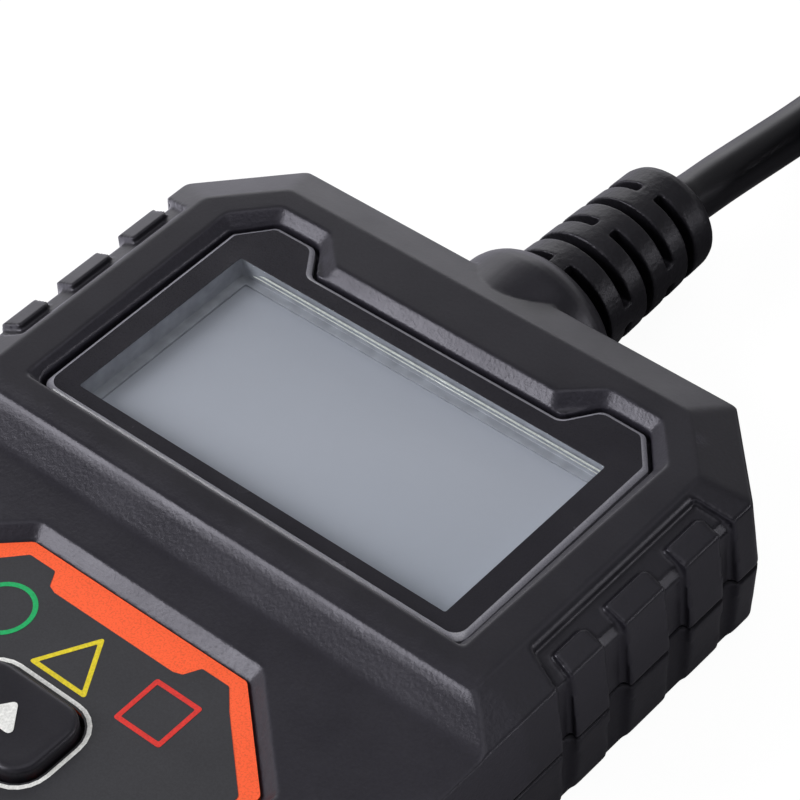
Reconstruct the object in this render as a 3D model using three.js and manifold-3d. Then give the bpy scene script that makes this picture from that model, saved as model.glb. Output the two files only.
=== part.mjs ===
// Hand-held OBD code reader: two-shell housing, display, keypad, electronics,
// strain relief, coiled data cable and 16-way diagnostic plug.
// Millimetres. Origin on the centre of the display window in X and Y,
// Z = 0 on the rear face the reader rests on, +Z out of the front face,
// +Y towards the cable end, +X to the right.
import * as THREE from "three";
import { mergeVertices } from "three/addons/utils/BufferGeometryUtils.js";
import Module from "manifold-3d";

const wasm = await Module();
wasm.setup();

// ---------------------------------------------------------------- dimensions
// housing, at the parting line
const HALF_W = 40.5;
const TOP_Y = 29.2;
const BOTTOM_Y = -95.0;
const CORNER_X = 30.4;               // inner end of the corner chamfers
const CORNER_Y = 18.8;               // outer end of the chamfers at the cable end
const CORNER_R = 1.6;
const Z_PART = 8.9;                  // parting line between the shells
const PART_GAP = 0.2;
const Z_TOP = 20.1;                  // display plateau
const Z_PAD = 17.9;                  // keypad plane
const BEVEL_W = 5.9;                 // bevel round the front
const BEVEL_H = 2.5;
const DRAFT = { width: 0.92, height: 11.4, segments: 1 };
const REAR_ROUND = 2.4;
const SLOPE_Y0 = -18.4;              // slope from the plateau to the keypad plane
const SLOPE_Y1 = -23.5;

// inside of the housing
const WALL = 2.6;
const END_WALL_Y = 25.9;             // inner face of the thicker wall at the cable end
const Z_FLOOR = 2.2;
const Z_CAVITY = 14.8;
const Z_CAVITY_LCD = 16.1;

// display and keypad
const LENS_TOP = 19.0;
const LENS_GAP = 0.5;                // round the lens
const LENS_LIFT = 0.2;               // under the lens
const LENS_BEVEL = { width: 0.35, height: 0.25, segments: 1 };
const Z_LEDGE = 17.3;                // ledge under the lens
const OVERLAY_TOP = 16.75;
const OVERLAY_T = 0.4;
const OVERLAY_GAP = 0.25;
const Z_PAD_FLOOR = 16.2;
const KEY_TOP = 18.2;
const KEY_BOTTOM = 13.65;
const KEY_ROUND = 0.5;
const KEY_FLANGE = 1.0;              // width and thickness of the flange

// circuit board
const BOARD_TOP = 10.6;
const BOARD_T = 1.6;
const PART_LIFT = 0.15;              // gap between the board and what is on it
const Z_ON_BOARD = BOARD_TOP + PART_LIFT;
const Z_UNDER_BOARD = BOARD_TOP - BOARD_T - PART_LIFT;

// cable, gland and plug
const CABLE_R = 3.0;
const BORE_GAP = 0.22;               // radial, cable to strain reliefs
const CABLE_Z = Z_PART;              // cable axis at the gland
const GLAND_R = 6.45;
const GLAND_MOUTH_R = 7.7;
const BOOT_TILT = 0.8;               // degrees
const LOOP_R = 35.0;
const LOOP_Y = 119.0;
const LOOP_OUT = 4.0;                // growth of the last half turn
const LAYER = 6.4;                   // rise from one turn to the next
const TABLE_Z = 3.1;                 // axis of the cable lying on the table
const PLUG_X = 2 * (LOOP_R + LOOP_OUT);
const PLUG_Y = 73.5;
const PLUG_Z = 12.5;

// limits for cuts that run right through
const Z_BELOW = -4;
const Z_INSIDE = 12;                 // inside the cavity, under the front wall
const Z_CLEAR = 26;

// name, x, y, width, height, corner radius
const KEYS = [
  ["up", 0, -48.3, 14, 10, 3.0],
  ["down", 0, -72.3, 14, 10, 3.0],
  ["back", -16.6, -60.3, 10, 14, 3.0],
  ["forward", 16.6, -60.3, 10, 14, 3.0],
  ["enter", 0, -60.3, 12.6, 8.4, 3.0],
  ["exit", -11.6, -82.0, 11, 6.4, 2.4],
  ["help", 11.6, -82.0, 11, 6.4, 2.4],
];
// colour, x, y
const LEDS = [["green", -10.8, -38.2], ["yellow", 0, -38.8], ["red", 10.8, -38.2]];

const screwPlaces = (x, yUpper, yLower) => [[x, yUpper], [-x, yUpper], [x, yLower], [-x, yLower]];
const CASE_SCREWS = screwPlaces(32.2, 19.0, -84.5);
const BOARD_SCREWS = screwPlaces(30.4, -20.4, -75.5);

// ----------------------------------------------------------------- materials
const standard = (settings) => new THREE.MeshStandardMaterial(settings);
const material = {
  shell: standard({ color: 0x3a3b40, roughness: 0.62 }),
  soft: standard({ color: 0x26272a, roughness: 0.8 }),
  lens: standard({ color: 0x36363b, roughness: 0.15 }),
  lcd: standard({ color: 0x9ba0a8, roughness: 0.3 }),
  white: standard({ color: 0xd8d8d4, roughness: 0.5 }),
  overlay: standard({ color: 0xff6434, roughness: 0.45 }),
  key: standard({ color: 0x2f3035, roughness: 0.5 }),
  steel: standard({ color: 0xa9a9ad, roughness: 0.35, metalness: 1 }),
  board: standard({ color: 0x1f6a42, roughness: 0.5 }),
  chip: standard({ color: 0x18181a, roughness: 0.5 }),
  green: standard({ color: 0x2fc46b, roughness: 0.3 }),
  yellow: standard({ color: 0xe2c93a, roughness: 0.3 }),
  red: standard({ color: 0xd8382c, roughness: 0.3 }),
  cable: standard({ color: 0x17171a, roughness: 0.3 }),
  brass: standard({ color: 0xc9a55a, roughness: 0.3, metalness: 1 }),
  label: standard({ color: 0x9fa0a4, roughness: 0.6 }),
  insert: standard({ color: 0x1c1c1f, roughness: 0.45 }),
};

// ------------------------------------------------------------ mesh and solid
const group = new THREE.Group();

function solid(geometry, insideOut = false) {
  geometry.deleteAttribute("normal");
  geometry.deleteAttribute("uv");
  const merged = mergeVertices(geometry, 1e-5);
  const triVerts = Uint32Array.from(merged.index.array);
  if (insideOut) triVerts.reverse();
  const vertProperties = merged.attributes.position.array;
  return new wasm.Manifold(new wasm.Mesh({ numProp: 3, vertProperties, triVerts }));
}

// add a solid to the group as a flat-shaded mesh
function put(name, body, bodyMaterial) {
  const { vertProperties, triVerts } = body.getMesh();
  const indexed = new THREE.BufferGeometry();
  indexed.setAttribute("position", new THREE.BufferAttribute(vertProperties, 3));
  indexed.setIndex(new THREE.BufferAttribute(triVerts, 1));
  const geometry = indexed.toNonIndexed();
  geometry.computeVertexNormals();
  const mesh = new THREE.Mesh(geometry, bodyMaterial);
  mesh.name = name;
  group.add(mesh);
}

// ---------------------------------------------------------- outline helpers
// An outline is a closed list of [x, y] points, anticlockwise.

// right half of an outline, completed by its mirror image in X
const bothSides = (half) => [...half, ...half.slice().reverse().map(([x, y]) => [-x, y])];

// every corner rounded, by one radius or by its own
function fillet(outline, radii, steps = 3) {
  return outline.flatMap((point, i) => {
    const corner = new THREE.Vector2(...point);
    const before = new THREE.Vector2(...outline.at(i - 1)).sub(corner);
    const after = new THREE.Vector2(...outline[(i + 1) % outline.length]).sub(corner);
    const radius = Array.isArray(radii) ? radii[i] : radii;
    const angle = before.angleTo(after);
    if (radius <= 0 || Math.abs(Math.PI - angle) < 0.02) return [point];
    const setback = Math.min(radius / Math.tan(angle / 2),
      before.length() * 0.48, after.length() * 0.48);
    const start = before.setLength(setback).add(corner);
    const end = after.setLength(setback).add(corner);
    const curve = new THREE.QuadraticBezierCurve(start, corner, end);
    return curve.getPoints(steps).map(({ x, y }) => [x, y]);
  });
}

function outwardNormal([x0, y0], [x1, y1]) {
  const length = Math.hypot(x1 - x0, y1 - y0);
  return [(y1 - y0) / length, (x0 - x1) / length];
}

// outline moved outwards, with mitred corners
function grow(outline, distance) {
  return outline.map((point, i) => {
    const [ax, ay] = outwardNormal(outline.at(i - 1), point);
    const [bx, by] = outwardNormal(point, outline[(i + 1) % outline.length]);
    const reach = distance / (1 + ax * bx + ay * by);
    return [point[0] + reach * (ax + bx), point[1] + reach * (ay + by)];
  });
}

const roundRect = (x, y, width, height, radius, steps = 4) => fillet([
  [x - width / 2, y - height / 2], [x + width / 2, y - height / 2],
  [x + width / 2, y + height / 2], [x - width / 2, y + height / 2]], radius, steps);

const shape = (outline) => new THREE.Shape(outline.map(([x, y]) => new THREE.Vector2(x, y)));

// ------------------------------------------------------------ solid helpers
// A bevel { width, height, segments } adds its height beyond both ends.
function extruded(outline, depth, bevel) {
  const options = bevel ? {
    depth,
    bevelEnabled: true,
    bevelThickness: bevel.height,
    bevelSize: bevel.width,
    bevelOffset: -bevel.width,
    bevelSegments: bevel.segments,
  } : { depth, bevelEnabled: false };
  return new THREE.ExtrudeGeometry(shape(outline), options);
}

// prism along Z from an outline in X and Y
function prism(outline, z0, z1, bevel) {
  return solid(extruded(outline, z1 - z0, bevel).translate(0, 0, z0));
}

// prism along Y from an outline in X and Z
function prismY(outline, y0, y1, bevel) {
  return solid(extruded(outline, y1 - y0, bevel).rotateX(Math.PI / 2).translate(0, y1, 0));
}

// `sharp` at zFull, drawn in at zDrawn (above or below), with its own fillet at each end
function taper(sharp, drawIn, radiusFull, radiusDrawn, zFull, zDrawn) {
  const full = fillet(sharp, radiusFull);
  const drawn = fillet(grow(sharp, -drawIn), radiusDrawn);
  const geometry = extruded(full, 1);
  const position = geometry.attributes.position;
  for (let i = 0; i < position.count; i++) {
    if (position.getZ(i) < 0.5) {
      position.setZ(i, zFull);
      continue;
    }
    const corner = full.findIndex(([x, y]) =>
      Math.hypot(x - position.getX(i), y - position.getY(i)) < 1e-4);
    position.setXYZ(i, ...drawn[corner], zDrawn);
  }
  return solid(geometry, zDrawn < zFull);
}

// cutter for a recess with sloping sides, open above zRim
function dish(sharp, drawIn, rimRadius, floorRadius, zRim, depth) {
  return taper(sharp, drawIn, rimRadius, floorRadius, zRim, zRim - depth)
    .add(prism(fillet(sharp, rimRadius), zRim - 0.001, Z_CLEAR));
}

function box(x0, x1, y0, y1, z0, z1) {
  return solid(new THREE.BoxGeometry(x1 - x0, y1 - y0, z1 - z0)
    .translate((x0 + x1) / 2, (y0 + y1) / 2, (z0 + z1) / 2));
}

// slice covering the whole housing in X and Y
const slab = (z0, z1) => box(-60, 60, -120, 60, z0, z1);

// cylinder along Z
function rod(x, y, z0, z1, radius, segments = 16) {
  return solid(new THREE.CylinderGeometry(radius, radius, z1 - z0, segments)
    .rotateX(Math.PI / 2).translate(x, y, (z0 + z1) / 2));
}

// cylinder along Y on the line x = 0 at height z
function rodY(z, y0, y1, radius, segments) {
  return solid(new THREE.CylinderGeometry(radius, radius, y1 - y0, segments)
    .translate(0, (y0 + y1) / 2, z));
}

// turned about +Y from [radius, y] points that start and end on the axis
function turned(profile, segments) {
  const points = profile.map(([radius, y]) => new THREE.Vector2(radius, y));
  return solid(new THREE.LatheGeometry(points, segments));
}

const smoothPath = (points) => new THREE.CatmullRomCurve3(points, false, "centripetal");

function tube(path, radius, steps, sides) {
  const circle = Array.from({ length: sides }, (_, i) => {
    const angle = 2 * Math.PI * i / sides;
    return [radius * Math.cos(angle), radius * Math.sin(angle)];
  });
  return solid(new THREE.ExtrudeGeometry(shape(circle),
    { steps, bevelEnabled: false, extrudePath: path }));
}

// cutter for a ring slot round the Y axis, leaving a core and two opposite bridges
function arcSlot({ y, width, coreRadius, bridgeHalf, bridgesAtSides, twist = 0,
  segments, coreSegments }) {
  const bridges = bridgesAtSides
    ? box(-12, 12, y - 2, y + 2, -bridgeHalf, bridgeHalf)
    : box(-bridgeHalf, bridgeHalf, y - 2, y + 2, -12, 12);
  return rodY(0, y - width / 2, y + width / 2, 9, segments)
    .subtract(rodY(0, y - 1.5, y + 1.5, coreRadius, coreSegments))
    .subtract(bridges.rotate([0, THREE.MathUtils.radToDeg(twist), 0]));
}

// ------------------------------------------------------------------ outlines
const housingSharp = bothSides([
  [CORNER_X, BOTTOM_Y], [HALF_W, BOTTOM_Y + (TOP_Y - CORNER_Y)],
  [HALF_W, CORNER_Y], [CORNER_X, TOP_Y]]);
const housingOutline = fillet(housingSharp, CORNER_R);
const lensRadii = [1.5, 0.8, 1.0, 1.4, 1.6];
const lensOutline = fillet(
  bothSides([[29.1, -14.8], [29.1, 15.0], [25.8, 18.8], [20.2, 18.85], [17.5, 15.1]]),
  [...lensRadii, ...lensRadii.toReversed()]);
const lensRecess = bothSides([
  [30.35, -18.2], [30.95, 16.0], [26.6, 20.65], [19.5, 20.7], [15.4, 17.05]]);
const overlaySharp = bothSides([[16.5, -88.0], [25.5, -79.5], [25.5, -39.4], [14.85, -29.9]]);
const overlayOutline = fillet(overlaySharp, 0.8, 2);

// outline of a key, `margin` larger in width and height
const keyOutline = ([, x, y, width, height, radius], margin = 0, radiusGain = 0) =>
  roundRect(x, y, width + margin, height + margin, radius + radiusGain);

// ------------------------------------------------------- outside of housing
function housingBlock() {
  const z = Z_TOP - BEVEL_H;
  const bevelledFront = prism(housingOutline, Z_BELOW, z + 0.001)
    .add(taper(housingSharp, BEVEL_W, CORNER_R, CORNER_R, z, Z_TOP));
  const roundedRear = prism(housingSharp, REAR_ROUND, Z_CLEAR,
    { width: REAR_ROUND, height: REAR_ROUND, segments: 3 });
  return prism(housingOutline, Z_PART - 0.01, Z_PART + 0.01, DRAFT)
    .intersect(bevelledFront)
    .intersect(roundedRear);
}

// everything above the slope and the keypad plane
function slopeCut() {
  // [y, z]
  const profile = [[SLOPE_Y0, Z_TOP], [SLOPE_Y1, Z_PAD], [-110, Z_PAD], [-110, 30], [SLOPE_Y0, 30]];
  return solid(extruded(fillet(profile, [3, 3, 0, 0, 0], 4), 100)
    .rotateX(Math.PI / 2).rotateZ(Math.PI / 2).translate(-50, 0, 0));
}

// domed collar round the strain relief, cut flat near the rear face
function collar() {
  // radius, y
  const profile = [
    [0, 23], [10.3, 23], [10.3, 30.2], [10.24, 31.2], [10.02, 32.1], [9.62, 32.9],
    [9.05, 33.6], [8.6, 34.0], [8.25, 34.2], [0, 34.2]];
  return turned(profile, 48).translate([0, 0, CABLE_Z]).intersect(box(-20, 20, 20, 40, 0.4, 30));
}

// Grip cutter for one side (+1 right, -1 left): slots between three blocks, with a
// groove behind them.
function gripCut(side) {
  const slotX = 39.35;               // side face at the bottom of the slots
  const slotZ = 17.25;               // height of the slot floor at slotX
  const grooveX = 35.6;
  const beyondX = 46;
  // lower edge inside, lower edge outside, upper edge, end of the slot above (all y)
  const blocks = [
    [7.5, 7.5, 13.0, 15.4],
    [-2.1, -2.1, 4.2, 7.5],
    [-10.0, -12.4, -5.4, -2.1]];
  const onSide = (points) => points.map(([x, y]) => [side * x, y]);
  // the slot floors run parallel to the bevel above them
  const floorZ = (x) => slotZ + BEVEL_H / BEVEL_W * (slotX - x);

  const aboveFloor = prismY(
    onSide([[34, floorZ(34)], [beyondX, floorZ(beyondX)], [beyondX, Z_CLEAR], [34, Z_CLEAR]]),
    -20, 20);
  let cut = prism(
    onSide([[grooveX, 14.2], [beyondX, 16.9], [beyondX, -14.4], [grooveX, -11.3]]),
    Z_INSIDE, Z_CLEAR).intersect(aboveFloor);
  cut = cut.add(prism(
    onSide([[slotX, 15.2], [beyondX, 16.9], [beyondX, -14.4], [slotX, -12.4]]),
    Z_BELOW, Z_CLEAR));
  for (const [lowInside, lowOutside, high] of blocks) {
    const outline = [
      [37.1, lowInside], [50, lowOutside], [50, high], [37.6, high], [37.1, high - 0.5]];
    cut = cut.subtract(prism(onSide(outline), Z_BELOW, Z_CLEAR));
  }
  // chamfer along the inner edge of the groove
  cut = cut.add(prismY(
    onSide([[35.2, 19.9], [35.2, 19.85], [35.7, 19.2], [35.7, 19.9]]), -11.3, 14.2));
  // small chamfer where each slot floor meets the side
  const chamfer = onSide([
    [slotX - 0.8, slotZ + 0.32], [slotX + 0.1, slotZ + 0.32], [slotX + 0.1, slotZ - 0.8]]);
  for (const [, , high, slotEnd] of blocks) cut = cut.add(prismY(chamfer, high, slotEnd));
  return cut;
}

function displayRecess() {
  return dish(lensRecess, 1.55, 1.3, 1.3, Z_TOP, 1.35)
    .intersect(box(-40, 40, -15.35, 30, 10, 30))
    .add(prism(grow(lensOutline, LENS_GAP), Z_LEDGE, Z_CLEAR));
}

function keypadRecess() {
  return dish(grow(overlaySharp, 1.8), 1.5, 1.6, 1.2, Z_PAD, 1.3)
    .add(prism(grow(overlayOutline, OVERLAY_GAP), Z_PAD_FLOOR, Z_CLEAR));
}

const outer = housingBlock()
  .subtract(slopeCut())
  .add(collar())
  .subtract(gripCut(1))
  .subtract(gripCut(-1))
  .subtract(displayRecess())
  .subtract(keypadRecess())
  .subtract(rodY(CABLE_Z, 22, 46, GLAND_R, 32))
  .subtract(rodY(CABLE_Z, 32.6, 36.6, GLAND_MOUTH_R, 36));

// -------------------------------------------------------------------- shells
const cavity = (z0, z1) => prism(grow(housingSharp, -WALL), z0, z1)
  .subtract(box(-60, 60, END_WALL_Y, 60, 0, 40));

function frontShell() {
  const lcdPocket = bothSides([[33.4, -16.4], [33.4, 17.5], [29.5, 21.4]]);
  let shell = outer.intersect(slab(Z_PART + PART_GAP / 2, 40))
    .subtract(cavity(0, Z_CAVITY))
    .subtract(prism(lcdPocket, Z_INSIDE, Z_CAVITY_LCD))
    .subtract(prism(roundRect(0, 0, 52.4, 26.4, 0.8, 2), Z_INSIDE, Z_CLEAR));
  for (const key of KEYS) {
    shell = shell.subtract(prism(keyOutline(key, 0.7, 0.3), Z_INSIDE, Z_CLEAR));
  }
  for (const [, x, y] of LEDS) shell = shell.subtract(rod(x, y, Z_INSIDE, Z_CLEAR, 1.8, 12));
  for (const [x, y] of CASE_SCREWS) {
    shell = shell.add(rod(x, y, Z_PART + PART_GAP / 2, 15.5, 3.6))
      .subtract(rod(x, y, 6, 14.6, 1.6, 12));
  }
  for (const [x, y] of BOARD_SCREWS) {
    shell = shell.add(rod(x, y, Z_ON_BOARD, 15.2, 2.6, 14))
      .subtract(rod(x, y, 8, 14.4, 1.15, 10));
  }
  return shell;
}

// rating label: place, size and corner radius; its recess is larger by the margin
const LABEL = { y: -35, width: 49.2, height: 33.2, radius: 1.8, margin: 0.8 };

function rearShell() {
  let shell = outer.intersect(slab(Z_BELOW, Z_PART - PART_GAP / 2))
    .subtract(cavity(Z_FLOOR, 30));
  for (const [x, y] of CASE_SCREWS) {
    shell = shell.add(rod(x, y, 1.0, Z_PART - 0.3, 3.9))
      .subtract(rod(x, y, Z_BELOW, Z_CLEAR, 1.75, 12))
      .subtract(rod(x, y, Z_BELOW, 3.2, 3.1, 16));
  }
  const { y, width, height, radius, margin } = LABEL;
  const recess = roundRect(0, y, width + margin, height + margin, radius + 0.2);
  return shell.subtract(prism(recess, Z_BELOW, 0.45));
}

put("front_shell", frontShell(), material.shell);
put("rear_shell", rearShell(), material.shell);
put("rating_label",
  prism(roundRect(0, LABEL.y, LABEL.width, LABEL.height, LABEL.radius), 0.1, 0.35),
  material.label);

// ------------------------------------------------------------------- display
put("display_lens",
  prism(lensOutline, Z_LEDGE + LENS_LIFT + LENS_BEVEL.height, LENS_TOP - LENS_BEVEL.height,
    LENS_BEVEL),
  material.lens);
put("lcd_panel", box(-29, 29, -15.6, 15.6, 13.2, 15.9), material.lcd);
// the backlight is notched at its two lower rear corners
put("lcd_backlight",
  box(-30, 30, -16.0, 15.6, 10.8, 13.05)
    .subtract(box(-30.1, -27, -16.1, -12, 10, 11.6))
    .subtract(box(27, 30.1, -16.1, -12, 10, 11.6)),
  material.white);

// -------------------------------------------------------------------- keypad
function keypadOverlay() {
  let overlay = prism(overlayOutline, OVERLAY_TOP - OVERLAY_T, OVERLAY_TOP);
  for (const key of KEYS) {
    overlay = overlay.subtract(prism(keyOutline(key, 0.9, 0.4), Z_INSIDE, Z_CLEAR));
  }
  return overlay;
}

// cap with a flange and a stem at its foot
function keyCap(key) {
  const [, x, y] = key;
  return prism(keyOutline(key), KEY_BOTTOM + KEY_ROUND, KEY_TOP - KEY_ROUND,
    { width: KEY_ROUND, height: KEY_ROUND, segments: 2 })
    .add(prism(keyOutline(key, 2 * KEY_FLANGE, 0.6), KEY_BOTTOM, KEY_BOTTOM + KEY_FLANGE))
    .add(rod(x, y, KEY_BOTTOM, 15, 1.6, 10));
}

const keySwitch = ([, x, y]) => box(x - 3, x + 3, y - 2.6, y + 2.6, Z_ON_BOARD, 12.3)
  .add(rod(x, y, 12, 12.95, 1.5, 12));

// radius, height above the LED's foot
const LED_PROFILE = [
  [0, 0], [1.9, 0], [1.9, 0.9], [1.5, 0.9], [1.5, 3.9], [1.3, 4.6], [0.8, 5.1], [0, 5.3]];

put("keypad_overlay", keypadOverlay(), material.overlay);
for (const key of KEYS) {
  put(`key_${key[0]}`, keyCap(key), material.key);
  put(`switch_${key[0]}`, keySwitch(key), material.chip);
}
for (const [color, x, y] of LEDS) {
  const led = turned(LED_PROFILE, 14).rotate([90, 0, 0]).translate([x, y, Z_ON_BOARD]);
  put(`led_${color}`, led, material[color]);
}

// --------------------------------------------------------------- electronics
function mainBoard() {
  const outline = bothSides([
    [24, -91], [27, -88], [27, -80], [35.5, -80], [35.5, 13.5],
    [26, 13.5], [26, 18.5], [6, 18.5], [6, 15.8]]);
  let board = prism(outline, BOARD_TOP - BOARD_T, BOARD_TOP);
  for (const [x, y] of BOARD_SCREWS) board = board.subtract(rod(x, y, 5, 14, 1.15, 10));
  return board;
}

// chips under the board: name, x0, x1, y0, y1, thickness
const CHIPS = [
  ["controller_chip", -7, 7, -42, -28, 1.4],
  ["bus_transceiver", -5.2, 5.2, -5, 1.5, 1.6],
  ["power_regulator", 14, 22, -6, 1, 2.3],
];

// disc with a central hole in its rear face
function buzzer() {
  const x = -20;
  const y = -55;
  return rod(x, y, Z_UNDER_BOARD - 4.2, Z_UNDER_BOARD, 4.6, 20)
    .subtract(rod(x, y, 0, Z_UNDER_BOARD - 3.8, 0.9, 10));
}

// block with its socket open towards +Y
const cableHeader = () => box(-9, 9, 8.2, 14.4, Z_UNDER_BOARD - 4.8, Z_UNDER_BOARD)
  .subtract(box(-7.6, 7.6, 12.6, 15, Z_UNDER_BOARD - 3.8, Z_UNDER_BOARD - 1.0));

// screw driven from the rear; head and shank are [z0, z1, radius, segments],
// cross is [half length, half width, z of its bottom]
function screw([x, y], head, shank, cross) {
  const [length, width, z] = cross;
  return rod(x, y, ...head)
    .add(rod(x, y, ...shank))
    .subtract(box(x - length, x + length, y - width, y + width, Z_BELOW, z))
    .subtract(box(x - width, x + width, y - length, y + length, Z_BELOW, z));
}

const boardScrew = (place) => screw(place,
  [Z_UNDER_BOARD - 1.4, Z_UNDER_BOARD, 2.1, 14],
  [Z_UNDER_BOARD - 0.1, 13.6, 0.95, 10],
  [1.4, 0.25, Z_UNDER_BOARD - 0.7]);
const caseScrew = (place) => screw(place,
  [0.9, 3.0, 2.8, 18], [2.5, 13.8, 1.4, 12], [1.9, 0.35, 1.9]);

put("main_board", mainBoard(), material.board);
for (const [name, x0, x1, y0, y1, thickness] of CHIPS) {
  put(name, box(x0, x1, y0, y1, Z_UNDER_BOARD - thickness, Z_UNDER_BOARD), material.chip);
}
put("buzzer", buzzer(), material.chip);
put("cable_header", cableHeader(), material.white);
for (let i = 0; i < 4; i++) {
  put(`board_screw_${i + 1}`, boardScrew(BOARD_SCREWS[i]), material.steel);
  put(`case_screw_${i + 1}`, caseScrew(CASE_SCREWS[i]), material.steel);
}

// --------------------------------------------------------------------- cable
const point = (x, y, z) => new THREE.Vector3(x, y, z);
const BOOT_ORIGIN = point(0, 42.3, 8.75);
// y, z of the sag to the table after the strain relief
const SAG = [
  [60, 8.05], [65, 7.35], [70, 6.5], [75, 5.6], [80, 4.75],
  [86, 3.95], [92, 3.4], [99, 3.14], [109, 3.1]];

// smooth step from 0 to 1
function ease(value) {
  const t = THREE.MathUtils.clamp(value, 0, 1);
  return t * t * (3 - 2 * t);
}

// Two and a half turns lying on each other, the last half turn opening out to the
// plug and settling to its height.
function coilPoint(degrees) {
  const angle = degrees * Math.PI / 180;
  const radius = LOOP_R + LOOP_OUT * ease((degrees - 720) / 180);
  const climb = LAYER * (ease((degrees - 170) / 120) + ease((degrees - 530) / 120));
  const settle = (TABLE_Z + 2 * LAYER - PLUG_Z) * ease((degrees - 800) / 100);
  return point(radius - radius * Math.cos(angle), LOOP_Y + radius * Math.sin(angle),
    TABLE_Z + climb - settle);
}

function cablePoints() {
  const tilt = BOOT_TILT * Math.PI / 180;
  const bootDirection = point(0, Math.cos(tilt), -Math.sin(tilt));
  const points = [22.4, 26, 30, 33].map((y) => point(0, y, CABLE_Z));
  for (const distance of [-4.5, -1, 3, 7, 11, 15]) {
    points.push(BOOT_ORIGIN.clone().addScaledVector(bootDirection, distance));
  }
  for (const [y, z] of SAG) points.push(point(0, y, z));
  for (let degrees = 0; degrees <= 900; degrees += 12) points.push(coilPoint(degrees));
  for (const y of [110, 101, 92, 83, PLUG_Y + 2]) points.push(point(PLUG_X, y, PLUG_Z));
  return points;
}

const cableRoute = cablePoints();
const cablePath = smoothPath(cableRoute);
cablePath.arcLengthDivisions = 2400;
// thinner inner lead, from the end of the cable to the header
const pigtailPath = smoothPath([
  point(0, 21.7, CABLE_Z), point(0, 20.8, CABLE_Z), point(0, 19.6, 8.2),
  point(0, 17.6, 6.8), point(0, 14.8, 6.2)]);

put("cable", tube(cablePath, CABLE_R, 215, 12), material.cable);
put("cable_pigtail", tube(pigtailPath, 1.5, 14, 10), material.insert);

// ------------------------------------------------- strain relief at the reader
// slotted sleeve, turned about its own axis and then tilted
function bootSleeve() {
  // radius, distance along the sleeve
  const profile = [
    [0, -9.2], [7.1, -9.2], [7.4, -8.9], [7.4, -6.0], [7.25, -2.9], [7.12, 1.05],
    [6.98, 5.0], [6.8, 8.9], [6.7, 12.4], [6.45, 13.2], [5.8, 13.8], [4.8, 14.0], [0, 14.0]];
  let sleeve = turned(profile, 40);
  // bridges alternate: front and rear, then left and right
  [-6.9, -2.9, 1.05, 5.0, 8.9].forEach((y, i) => {
    const bridgesAtSides = i % 2 === 1;
    sleeve = sleeve.subtract(arcSlot({
      y,
      width: 1.3,
      coreRadius: 4.6,
      bridgeHalf: bridgesAtSides ? 1.35 : 1.05,
      bridgesAtSides,
      twist: bridgesAtSides ? -0.05 : 0.07,
      segments: 32,
      coreSegments: 24,
    }));
  });
  return sleeve.rotate([-BOOT_TILT, 0, 0]).translate(BOOT_ORIGIN.toArray());
}

// sleeve with its root through the gland and a flange inside the housing
function cableBoot() {
  // the bore follows the cable as far as the first three points of the sag
  const borePath = smoothPath([point(0, 18, CABLE_Z), ...cableRoute.slice(0, 13)]);
  return bootSleeve()
    .add(rodY(CABLE_Z, 24.2, 34.4, 6.05, 28))
    .add(box(-9, 9, 23.2, 25.5, 3.0, 14.3))
    .add(rodY(CABLE_Z, 23.2, 27.2, 5.2, 20))
    .subtract(tube(borePath, CABLE_R + BORE_GAP, 60, 16));
}

put("cable_boot", cableBoot(), material.soft);

// ---------------------------------------------------------------------- plug
// Drawn about its own axis: cable towards +Y, open end towards -Y, outlines in X and Z.
const shroudSharp = bothSides([[19.8, -8.7], [19.8, 2.6], [17.0, 8.7]]);
const CONTACT_PITCH = 4.0;
const ROW_OFFSET = 3.9;
const CONTACT_TIP_Y = -45.2;         // where the taper of the tip starts
const CONTACT_X = 0.75;              // half width
const CONTACT_Z = 0.32;              // half thickness
const FITTED = [2, 4, 5, 6, 7, 10, 14, 15, 16];

const putPlug = (name, body, bodyMaterial) =>
  put(name, body.translate([PLUG_X, PLUG_Y, PLUG_Z]), bodyMaterial);

function plugHousing() {
  const grip = fillet(bothSides([[22.2, -12.5], [22.2, 6.5], [17.2, 12.3]]), 3.0, 4);
  let body = prismY(grip, -29.0, -1.0, { width: 2.2, height: 2.0, segments: 2 })
    .add(prismY(fillet(shroudSharp, 1.6), -48.5, -28))
    .subtract(prismY(fillet(grow(shroudSharp, -1.7), 0.8), -60, -34.0));
  // finger grooves on both flanks
  for (let i = 0; i < 5; i++) {
    const y = -9.2 - 4 * i;
    body = body.subtract(box(21.5, 26, y, y + 1.8, -14.5, 5))
      .subtract(box(-26, -21.5, y, y + 1.8, -14.5, 5));
  }
  return body.subtract(rodY(0, -5, 21, CABLE_R + 0.3, 20))
    .subtract(rodY(0, -4, 8, 6.6, 28));
}

function plugStrainRelief() {
  // radius, y
  const profile = [
    [0, -3.6], [6.3, -3.6], [6.3, 2.0], [5.6, 4.5], [5.1, 12], [4.7, 20], [4.3, 22], [0, 22]];
  let relief = turned(profile, 28);
  for (let i = 0; i < 4; i++) {
    relief = relief.subtract(arcSlot({
      y: 7 + 3.6 * i,
      width: 1.4,
      coreRadius: 4.0,
      bridgeHalf: 1.5,
      bridgesAtSides: i % 2 === 0,
      segments: 28,
      coreSegments: 20,
    }));
  }
  const borePath = smoothPath([point(0, 34, 0), point(0, 14, 0), point(0, -8, 0)]);
  return relief.subtract(tube(borePath, CABLE_R + BORE_GAP, 20, 16));
}

// contacts 1 to 8 lie in the upper row, 9 to 16 in the lower, both numbered towards +X
function contactPlace(number) {
  const column = (number - 1) % 8;
  return [(column - 3.5) * CONTACT_PITCH, number <= 8 ? ROW_OFFSET : -ROW_OFFSET];
}

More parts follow.
